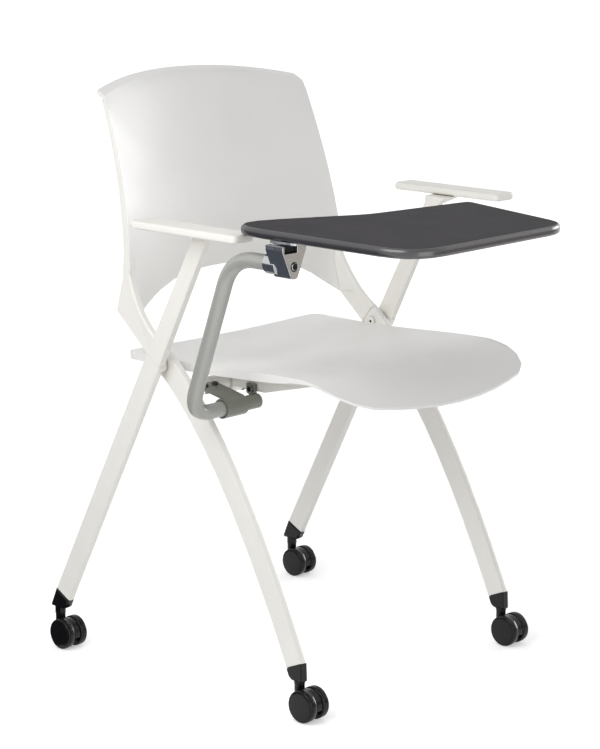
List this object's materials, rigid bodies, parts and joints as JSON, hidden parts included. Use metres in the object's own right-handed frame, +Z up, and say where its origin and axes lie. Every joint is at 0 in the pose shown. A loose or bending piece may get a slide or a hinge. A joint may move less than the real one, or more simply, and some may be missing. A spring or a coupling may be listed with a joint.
{
  "type": "nesting chair",
  "caption": "Nesting chair with crossed legs on casters, flip-up seat, curved back shell, armrests and a swing-away writing tablet.",
  "frame": {"origin": "on the floor, under the middle of the bounding box", "axes": "+Z up; the sitter faces -Y and the writing tablet is on the -X side"},
  "size_m": [0.619, 0.7788, 0.89],
  "materials": {
    "white_steel": "white powder coat on steel",
    "white_moulding": "fine-grained white moulding",
    "black_nylon": "black glass-filled nylon",
    "black_rubber": "matt black",
    "plain_steel": "bright zinc",
    "black_steel": "black zinc",
    "grey_steel": "light grey powder coat",
    "grey_paint": "warm grey powder coat",
    "cast_alloy": "polished die casting",
    "dark_moulding": "fine-grained charcoal moulding"
  },
  "bodies": {
    "chair_frame": {"front_leg_left": "white_steel", "front_leg_right": "white_steel", "rear_leg_left": "white_steel", "rear_leg_right": "white_steel", "leg_spacer_left": "white_steel", "leg_spacer_right": "white_steel", "leg_bolt_left": "white_steel", "leg_bolt_right": "white_steel", "arm_upright_left": "white_moulding", "arm_upright_right": "white_moulding", "arm_pad_left": "white_moulding", "arm_pad_right": "white_moulding", "back_frame_left": "white_moulding", "back_frame_right": "white_moulding", "back_shell": "white_moulding", "seat_pivot_tube": "white_steel", "seat_support_left": "white_steel", "seat_support_right": "white_steel", "seat_bumper_left": "black_rubber", "seat_bumper_right": "black_rubber", "front_left_foot_plug": "black_nylon", "front_right_foot_plug": "black_nylon", "rear_left_foot_plug": "black_nylon", "rear_right_foot_plug": "black_nylon", "front_left_stem": "plain_steel", "front_right_stem": "plain_steel", "rear_left_stem": "plain_steel", "rear_right_stem": "plain_steel", "tablet_arm_holder": "grey_paint", "tablet_holder_screw_1": "black_steel", "tablet_holder_screw_2": "black_steel", "tablet_lug_screw": "plain_steel"},
    "seat": {"seat_shell": "white_moulding", "seat_hinge_left": "black_nylon", "seat_hinge_right": "black_nylon"},
    "tablet_arm": {"tablet_arm_tube": "grey_steel", "tablet_arm_end_plug": "plain_steel", "tablet_pivot_screw": "plain_steel"},
    "tablet": {"tablet_bracket": "cast_alloy", "tablet_stop_block": "black_rubber", "tablet_mount_plate": "plain_steel", "tablet_top": "dark_moulding", "tablet_underside": "dark_moulding"},
    "front_left_caster": {"front_left_hood": "black_nylon", "front_left_axle": "plain_steel"},
    "front_left_outer_roller": {"front_left_outer_wheel": "black_nylon"},
    "front_left_inner_roller": {"front_left_inner_wheel": "black_nylon"},
    "front_right_caster": {"front_right_hood": "black_nylon", "front_right_axle": "plain_steel"},
    "front_right_outer_roller": {"front_right_outer_wheel": "black_nylon"},
    "front_right_inner_roller": {"front_right_inner_wheel": "black_nylon"},
    "rear_left_caster": {"rear_left_hood": "black_nylon", "rear_left_axle": "plain_steel"},
    "rear_left_outer_roller": {"rear_left_outer_wheel": "black_nylon"},
    "rear_left_inner_roller": {"rear_left_inner_wheel": "black_nylon"},
    "rear_right_caster": {"rear_right_hood": "black_nylon", "rear_right_axle": "plain_steel"},
    "rear_right_outer_roller": {"rear_right_outer_wheel": "black_nylon"},
    "rear_right_inner_roller": {"rear_right_inner_wheel": "black_nylon"}
  },
  "joints": [
    {"name": "seat_fold", "type": "hinge", "parent": "chair_frame", "child": "seat", "pos_m": [0, 0.11498, 0.446], "axis": [-1, 0, 0], "range_deg": [0, 80]},
    {"name": "tablet_arm_swing", "type": "hinge", "parent": "chair_frame", "child": "tablet_arm", "pos_m": [-0.205, 0.04398, 0.4285], "axis": [1, 0, 0], "range_deg": [0, 85]},
    {"name": "tablet_flip", "type": "hinge", "parent": "tablet_arm", "child": "tablet", "pos_m": [-0.29, -0.15102, 0.6695], "axis": [0, -1, 0], "range_deg": [0, 95]},
    {"name": "front_left_swivel", "type": "hinge", "parent": "chair_frame", "child": "front_left_caster", "pos_m": [0.229, -0.11602, 0.06], "axis": [0, 0, 1], "continuous": true},
    {"name": "front_left_outer_roll", "type": "hinge", "parent": "front_left_caster", "child": "front_left_outer_roller", "pos_m": [0.229, -0.13402, 0.024], "axis": [1, 0, 0], "continuous": true},
    {"name": "front_left_inner_roll", "type": "hinge", "parent": "front_left_caster", "child": "front_left_inner_roller", "pos_m": [0.229, -0.13402, 0.024], "axis": [1, 0, 0], "continuous": true},
    {"name": "front_right_swivel", "type": "hinge", "parent": "chair_frame", "child": "front_right_caster", "pos_m": [-0.229, -0.11602, 0.06], "axis": [0, 0, 1], "continuous": true},
    {"name": "front_right_outer_roll", "type": "hinge", "parent": "front_right_caster", "child": "front_right_outer_roller", "pos_m": [-0.229, -0.13402, 0.024], "axis": [1, 0, 0], "continuous": true},
    {"name": "front_right_inner_roll", "type": "hinge", "parent": "front_right_caster", "child": "front_right_inner_roller", "pos_m": [-0.229, -0.13402, 0.024], "axis": [1, 0, 0], "continuous": true},
    {"name": "rear_left_swivel", "type": "hinge", "parent": "chair_frame", "child": "rear_left_caster", "pos_m": [0.261, 0.37398, 0.06], "axis": [0, 0, 1], "continuous": true},
    {"name": "rear_left_outer_roll", "type": "hinge", "parent": "rear_left_caster", "child": "rear_left_outer_roller", "pos_m": [0.261, 0.35598, 0.024], "axis": [1, 0, 0], "continuous": true},
    {"name": "rear_left_inner_roll", "type": "hinge", "parent": "rear_left_caster", "child": "rear_left_inner_roller", "pos_m": [0.261, 0.35598, 0.024], "axis": [1, 0, 0], "continuous": true},
    {"name": "rear_right_swivel", "type": "hinge", "parent": "chair_frame", "child": "rear_right_caster", "pos_m": [-0.261, 0.37398, 0.06], "axis": [0, 0, 1], "continuous": true},
    {"name": "rear_right_outer_roll", "type": "hinge", "parent": "rear_right_caster", "child": "rear_right_outer_roller", "pos_m": [-0.261, 0.35598, 0.024], "axis": [1, 0, 0], "continuous": true},
    {"name": "rear_right_inner_roll", "type": "hinge", "parent": "rear_right_caster", "child": "rear_right_inner_roller", "pos_m": [-0.261, 0.35598, 0.024], "axis": [1, 0, 0], "continuous": true}
  ]
}
